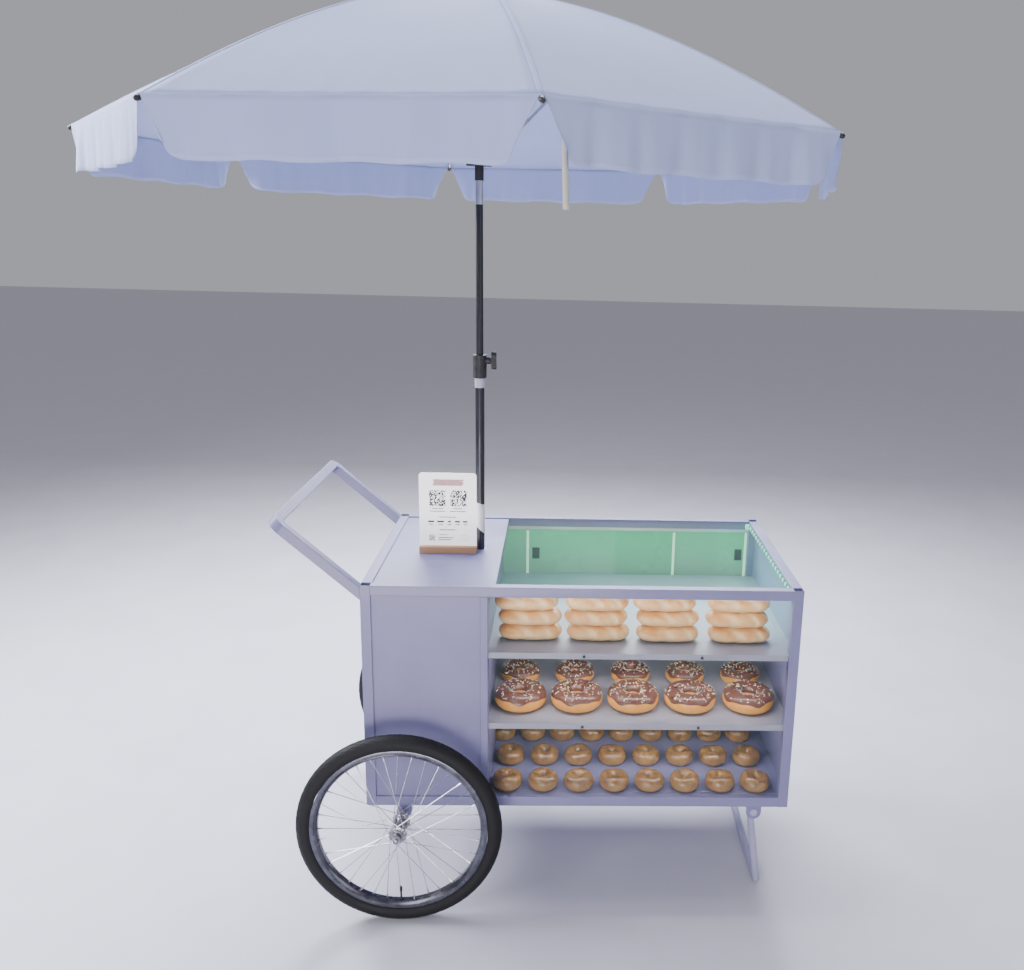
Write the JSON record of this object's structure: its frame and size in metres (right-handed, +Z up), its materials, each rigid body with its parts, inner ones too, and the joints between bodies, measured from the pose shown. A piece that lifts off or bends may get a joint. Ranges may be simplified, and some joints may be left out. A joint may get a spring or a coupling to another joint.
{
  "type": "push vending cart",
  "caption": "Two-wheeled push cart: framed box with a glazed, lit goods display and a closed compartment, tubular push handle, prop stand and a folding market umbrella on a pole.",
  "frame": {"origin": "on the ground under the umbrella pole's axis, which is the middle of the whole object's footprint", "axes": "+X towards the display end, +Y towards the vendor's side with the sliding doors, +Z up"},
  "size_m": [2.1382, 2.1382, 2.6463],
  "materials": {
    "paint": "satin",
    "clear_glass": "polished",
    "shelf_board": "painted satin",
    "door_sheet": "gloss",
    "track_metal": "satin",
    "light_strip": "lit",
    "axle_steel": "turned",
    "stand_steel": "satin",
    "tyre": "matte",
    "rim_metal": "satin",
    "spoke_steel": "bright",
    "hub_metal": "turned",
    "socket_steel": "plain",
    "pole_black": "satin",
    "black_plastic": "moulded",
    "rib_steel": "plain",
    "canopy_fabric": "woven",
    "sign_card": "satin"
  },
  "bodies": {
    "cart": {"welded_frame": "paint", "sheet_panels": "paint", "handle": "paint", "glass_panes": "clear_glass", "shelves": "shelf_board", "door_tracks": "track_metal", "fixed_sheet": "door_sheet", "led_strip": "light_strip", "axle": "axle_steel", "pole_socket": "socket_steel", "sign": "sign_card"},
    "left_door": {"door_left": "door_sheet"},
    "right_door": {"door_right": "door_sheet"},
    "front_wheel": {"tyre_front": "tyre", "rim_front": "rim_metal", "hub_front": "hub_metal", "spokes_front": "spoke_steel"},
    "back_wheel": {"tyre_back": "tyre", "rim_back": "rim_metal", "hub_back": "hub_metal", "spokes_back": "spoke_steel"},
    "stand": {"prop_stand": "stand_steel"},
    "lower_mast": {"lower_pole": "pole_black", "height_clamp": "black_plastic"},
    "clamp_knob": {"height_knob": "black_plastic"},
    "upper_mast": {"upper_pole": "pole_black", "crown": "black_plastic"},
    "slider": {"runner": "black_plastic"},
    "rib_arm_1": {"rib_1": "rib_steel"},
    "strut_1": {"stretcher_1": "rib_steel"},
    "gore_panel_1": {"canopy_gore_1": "canopy_fabric"},
    "flap_1": {"valance_1": "canopy_fabric"},
    "rib_arm_2": {"rib_2": "rib_steel"},
    "strut_2": {"stretcher_2": "rib_steel"},
    "gore_panel_2": {"canopy_gore_2": "canopy_fabric"},
    "flap_2": {"valance_2": "canopy_fabric"},
    "rib_arm_3": {"rib_3": "rib_steel"},
    "strut_3": {"stretcher_3": "rib_steel"},
    "gore_panel_3": {"canopy_gore_3": "canopy_fabric"},
    "flap_3": {"valance_3": "canopy_fabric"},
    "rib_arm_4": {"rib_4": "rib_steel"},
    "strut_4": {"stretcher_4": "rib_steel"},
    "gore_panel_4": {"canopy_gore_4": "canopy_fabric"},
    "flap_4": {"valance_4": "canopy_fabric"},
    "rib_arm_5": {"rib_5": "rib_steel"},
    "strut_5": {"stretcher_5": "rib_steel"},
    "gore_panel_5": {"canopy_gore_5": "canopy_fabric"},
    "flap_5": {"valance_5": "canopy_fabric"},
    "rib_arm_6": {"rib_6": "rib_steel"},
    "strut_6": {"stretcher_6": "rib_steel"},
    "gore_panel_6": {"canopy_gore_6": "canopy_fabric"},
    "flap_6": {"valance_6": "canopy_fabric"},
    "rib_arm_7": {"rib_7": "rib_steel"},
    "strut_7": {"stretcher_7": "rib_steel"},
    "gore_panel_7": {"canopy_gore_7": "canopy_fabric"},
    "flap_7": {"valance_7": "canopy_fabric"},
    "rib_arm_8": {"rib_8": "rib_steel"},
    "strut_8": {"stretcher_8": "rib_steel"},
    "gore_panel_8": {"canopy_gore_8": "canopy_fabric"},
    "flap_8": {"valance_8": "canopy_fabric"}
  },
  "joints": [
    {"name": "left_door_slide", "type": "slide", "parent": "cart", "child": "left_door", "axis": [1, 0, 0], "range_m": [-0.082, 0.261]},
    {"name": "right_door_slide", "type": "slide", "parent": "cart", "child": "right_door", "axis": [1, 0, 0], "range_m": [-0.313, 0]},
    {"name": "front_wheel_spin", "type": "hinge", "parent": "cart", "child": "front_wheel", "pos_m": [-0.2, -0.455, 0.3], "axis": [0, 1, 0], "continuous": true},
    {"name": "back_wheel_spin", "type": "hinge", "parent": "cart", "child": "back_wheel", "pos_m": [-0.2, 0.455, 0.3], "axis": [0, 1, 0], "continuous": true},
    {"name": "stand_fold", "type": "hinge", "parent": "cart", "child": "stand", "pos_m": [0.86, 0, 0.3], "axis": [0, 1, 0], "range_deg": [0, 97]},
    {"name": "pole_turn", "type": "hinge", "parent": "cart", "child": "lower_mast", "pos_m": [0, 0, 1.016], "axis": [0, 0, 1], "continuous": true},
    {"name": "knob_turn", "type": "hinge", "parent": "lower_mast", "child": "clamp_knob", "pos_m": [0.03, 0, 1.6175], "axis": [1, 0, 0], "range_deg": [0, 360]},
    {"name": "pole_height", "type": "slide", "parent": "lower_mast", "child": "upper_mast", "axis": [0, 0, 1], "range_m": [0, 0.25]},
    {"name": "canopy_fold", "type": "slide", "parent": "upper_mast", "child": "slider", "axis": [0, 0, -1], "range_m": [0, 0.48]},
    {"name": "rib_fold_1", "type": "hinge", "parent": "upper_mast", "child": "rib_arm_1", "pos_m": [0.02487, -0.01678, 2.624], "axis": [0.5592, 0.829, 0], "range_deg": [0, 66]},
    {"name": "strut_fold_1", "type": "hinge", "parent": "slider", "child": "strut_1", "pos_m": [0.02487, -0.01678, 2.2], "axis": [-0.5592, -0.829, 0], "range_deg": [0, 30]},
    {"name": "gore_fold_1", "type": "hinge", "parent": "upper_mast", "child": "gore_panel_1", "pos_m": [0.0294, -0.00598, 2.624], "axis": [0.1994, 0.9799, 0], "range_deg": [0, 66], "deforming": ["canopy_gore_1"]},
    {"name": "flap_fold_1", "type": "hinge", "parent": "gore_panel_1", "child": "flap_1", "pos_m": [0.97923, -0.19923, 2.245], "axis": [-0.1994, -0.9799, 0], "range_deg": [0, 66], "deforming": ["valance_1"]},
    {"name": "rib_fold_2", "type": "hinge", "parent": "upper_mast", "child": "rib_arm_2", "pos_m": [0.02945, 0.00572, 2.624], "axis": [-0.1908, 0.9816, 0], "range_deg": [0, 66]},
    {"name": "strut_fold_2", "type": "hinge", "parent": "slider", "child": "strut_2", "pos_m": [0.02945, 0.00572, 2.2], "axis": [0.1908, -0.9816, 0], "range_deg": [0, 30]},
    {"name": "gore_fold_2", "type": "hinge", "parent": "upper_mast", "child": "gore_panel_2", "pos_m": [0.02502, 0.01656, 2.624], "axis": [-0.5519, 0.8339, 0], "range_deg": [0, 66], "deforming": ["canopy_gore_2"]},
    {"name": "flap_fold_2", "type": "hinge", "parent": "gore_panel_2", "child": "flap_2", "pos_m": [0.83329, 0.55154, 2.245], "axis": [0.5519, -0.8339, 0], "range_deg": [0, 66], "deforming": ["valance_2"]},
    {"name": "rib_fold_3", "type": "hinge", "parent": "upper_mast", "child": "rib_arm_3", "pos_m": [0.01678, 0.02487, 2.624], "axis": [-0.829, 0.5592, 0], "range_deg": [0, 66]},
    {"name": "strut_fold_3", "type": "hinge", "parent": "slider", "child": "strut_3", "pos_m": [0.01678, 0.02487, 2.2], "axis": [0.829, -0.5592, 0], "range_deg": [0, 30]},
    {"name": "gore_fold_3", "type": "hinge", "parent": "upper_mast", "child": "gore_panel_3", "pos_m": [0.00598, 0.0294, 2.624], "axis": [-0.9799, 0.1994, 0], "range_deg": [0, 66], "deforming": ["canopy_gore_3"]},
    {"name": "flap_fold_3", "type": "hinge", "parent": "gore_panel_3", "child": "flap_3", "pos_m": [0.19923, 0.97923, 2.245], "axis": [0.9799, -0.1994, 0], "range_deg": [0, 66], "deforming": ["valance_3"]},
    {"name": "rib_fold_4", "type": "hinge", "parent": "upper_mast", "child": "rib_arm_4", "pos_m": [-0.00572, 0.02945, 2.624], "axis": [-0.9816, -0.1908, 0], "range_deg": [0, 66]},
    {"name": "strut_fold_4", "type": "hinge", "parent": "slider", "child": "strut_4", "pos_m": [-0.00572, 0.02945, 2.2], "axis": [0.9816, 0.1908, 0], "range_deg": [0, 30]},
    {"name": "gore_fold_4", "type": "hinge", "parent": "upper_mast", "child": "gore_panel_4", "pos_m": [-0.01656, 0.02502, 2.624], "axis": [-0.8339, -0.5519, 0], "range_deg": [0, 66], "deforming": ["canopy_gore_4"]},
    {"name": "flap_fold_4", "type": "hinge", "parent": "gore_panel_4", "child": "flap_4", "pos_m": [-0.55154, 0.83329, 2.245], "axis": [0.8339, 0.5519, 0], "range_deg": [0, 66], "deforming": ["valance_4"]},
    {"name": "rib_fold_5", "type": "hinge", "parent": "upper_mast", "child": "rib_arm_5", "pos_m": [-0.02487, 0.01678, 2.624], "axis": [-0.5592, -0.829, 0], "range_deg": [0, 66]},
    {"name": "strut_fold_5", "type": "hinge", "parent": "slider", "child": "strut_5", "pos_m": [-0.02487, 0.01678, 2.2], "axis": [0.5592, 0.829, 0], "range_deg": [0, 30]},
    {"name": "gore_fold_5", "type": "hinge", "parent": "upper_mast", "child": "gore_panel_5", "pos_m": [-0.0294, 0.00598, 2.624], "axis": [-0.1994, -0.9799, 0], "range_deg": [0, 66], "deforming": ["canopy_gore_5"]},
    {"name": "flap_fold_5", "type": "hinge", "parent": "gore_panel_5", "child": "flap_5", "pos_m": [-0.97923, 0.19923, 2.245], "axis": [0.1994, 0.9799, 0], "range_deg": [0, 66], "deforming": ["valance_5"]},
    {"name": "rib_fold_6", "type": "hinge", "parent": "upper_mast", "child": "rib_arm_6", "pos_m": [-0.02945, -0.00572, 2.624], "axis": [0.1908, -0.9816, 0], "range_deg": [0, 66]},
    {"name": "strut_fold_6", "type": "hinge", "parent": "slider", "child": "strut_6", "pos_m": [-0.02945, -0.00572, 2.2], "axis": [-0.1908, 0.9816, 0], "range_deg": [0, 30]},
    {"name": "gore_fold_6", "type": "hinge", "parent": "upper_mast", "child": "gore_panel_6", "pos_m": [-0.02502, -0.01656, 2.624], "axis": [0.5519, -0.8339, 0], "range_deg": [0, 66], "deforming": ["canopy_gore_6"]},
    {"name": "flap_fold_6", "type": "hinge", "parent": "gore_panel_6", "child": "flap_6", "pos_m": [-0.83329, -0.55154, 2.245], "axis": [-0.5519, 0.8339, 0], "range_deg": [0, 66], "deforming": ["valance_6"]},
    {"name": "rib_fold_7", "type": "hinge", "parent": "upper_mast", "child": "rib_arm_7", "pos_m": [-0.01678, -0.02487, 2.624], "axis": [0.829, -0.5592, 0], "range_deg": [0, 66]},
    {"name": "strut_fold_7", "type": "hinge", "parent": "slider", "child": "strut_7", "pos_m": [-0.01678, -0.02487, 2.2], "axis": [-0.829, 0.5592, 0], "range_deg": [0, 30]},
    {"name": "gore_fold_7", "type": "hinge", "parent": "upper_mast", "child": "gore_panel_7", "pos_m": [-0.00598, -0.0294, 2.624], "axis": [0.9799, -0.1994, 0], "range_deg": [0, 66], "deforming": ["canopy_gore_7"]},
    {"name": "flap_fold_7", "type": "hinge", "parent": "gore_panel_7", "child": "flap_7", "pos_m": [-0.19923, -0.97923, 2.245], "axis": [-0.9799, 0.1994, 0], "range_deg": [0, 66], "deforming": ["valance_7"]},
    {"name": "rib_fold_8", "type": "hinge", "parent": "upper_mast", "child": "rib_arm_8", "pos_m": [0.00572, -0.02945, 2.624], "axis": [0.9816, 0.1908, 0], "range_deg": [0, 66]},
    {"name": "strut_fold_8", "type": "hinge", "parent": "slider", "child": "strut_8", "pos_m": [0.00572, -0.02945, 2.2], "axis": [-0.9816, -0.1908, 0], "range_deg": [0, 30]},
    {"name": "gore_fold_8", "type": "hinge", "parent": "upper_mast", "child": "gore_panel_8", "pos_m": [0.01656, -0.02502, 2.624], "axis": [0.8339, 0.5519, 0], "range_deg": [0, 66], "deforming": ["canopy_gore_8"]},
    {"name": "flap_fold_8", "type": "hinge", "parent": "gore_panel_8", "child": "flap_8", "pos_m": [0.55154, -0.83329, 2.245], "axis": [-0.8339, -0.5519, 0], "range_deg": [0, 66], "deforming": ["valance_8"]}
  ],
  "couplings": [
    {"joint": "rib_fold_1", "follows": "canopy_fold", "rad_per_m": 2.3998},
    {"joint": "strut_fold_1", "follows": "canopy_fold", "rad_per_m": 1.0908},
    {"joint": "gore_fold_1", "follows": "canopy_fold", "rad_per_m": 2.3998},
    {"joint": "flap_fold_1", "follows": "canopy_fold", "rad_per_m": 2.3998},
    {"joint": "rib_fold_2", "follows": "canopy_fold", "rad_per_m": 2.3998},
    {"joint": "strut_fold_2", "follows": "canopy_fold", "rad_per_m": 1.0908},
    {"joint": "gore_fold_2", "follows": "canopy_fold", "rad_per_m": 2.3998},
    {"joint": "flap_fold_2", "follows": "canopy_fold", "rad_per_m": 2.3998},
    {"joint": "rib_fold_3", "follows": "canopy_fold", "rad_per_m": 2.3998},
    {"joint": "strut_fold_3", "follows": "canopy_fold", "rad_per_m": 1.0908},
    {"joint": "gore_fold_3", "follows": "canopy_fold", "rad_per_m": 2.3998},
    {"joint": "flap_fold_3", "follows": "canopy_fold", "rad_per_m": 2.3998},
    {"joint": "rib_fold_4", "follows": "canopy_fold", "rad_per_m": 2.3998},
    {"joint": "strut_fold_4", "follows": "canopy_fold", "rad_per_m": 1.0908},
    {"joint": "gore_fold_4", "follows": "canopy_fold", "rad_per_m": 2.3998},
    {"joint": "flap_fold_4", "follows": "canopy_fold", "rad_per_m": 2.3998},
    {"joint": "rib_fold_5", "follows": "canopy_fold", "rad_per_m": 2.3998},
    {"joint": "strut_fold_5", "follows": "canopy_fold", "rad_per_m": 1.0908},
    {"joint": "gore_fold_5", "follows": "canopy_fold", "rad_per_m": 2.3998},
    {"joint": "flap_fold_5", "follows": "canopy_fold", "rad_per_m": 2.3998},
    {"joint": "rib_fold_6", "follows": "canopy_fold", "rad_per_m": 2.3998},
    {"joint": "strut_fold_6", "follows": "canopy_fold", "rad_per_m": 1.0908},
    {"joint": "gore_fold_6", "follows": "canopy_fold", "rad_per_m": 2.3998},
    {"joint": "flap_fold_6", "follows": "canopy_fold", "rad_per_m": 2.3998},
    {"joint": "rib_fold_7", "follows": "canopy_fold", "rad_per_m": 2.3998},
    {"joint": "strut_fold_7", "follows": "canopy_fold", "rad_per_m": 1.0908},
    {"joint": "gore_fold_7", "follows": "canopy_fold", "rad_per_m": 2.3998},
    {"joint": "flap_fold_7", "follows": "canopy_fold", "rad_per_m": 2.3998},
    {"joint": "rib_fold_8", "follows": "canopy_fold", "rad_per_m": 2.3998},
    {"joint": "strut_fold_8", "follows": "canopy_fold", "rad_per_m": 1.0908},
    {"joint": "gore_fold_8", "follows": "canopy_fold", "rad_per_m": 2.3998},
    {"joint": "flap_fold_8", "follows": "canopy_fold", "rad_per_m": 2.3998}
  ]
}
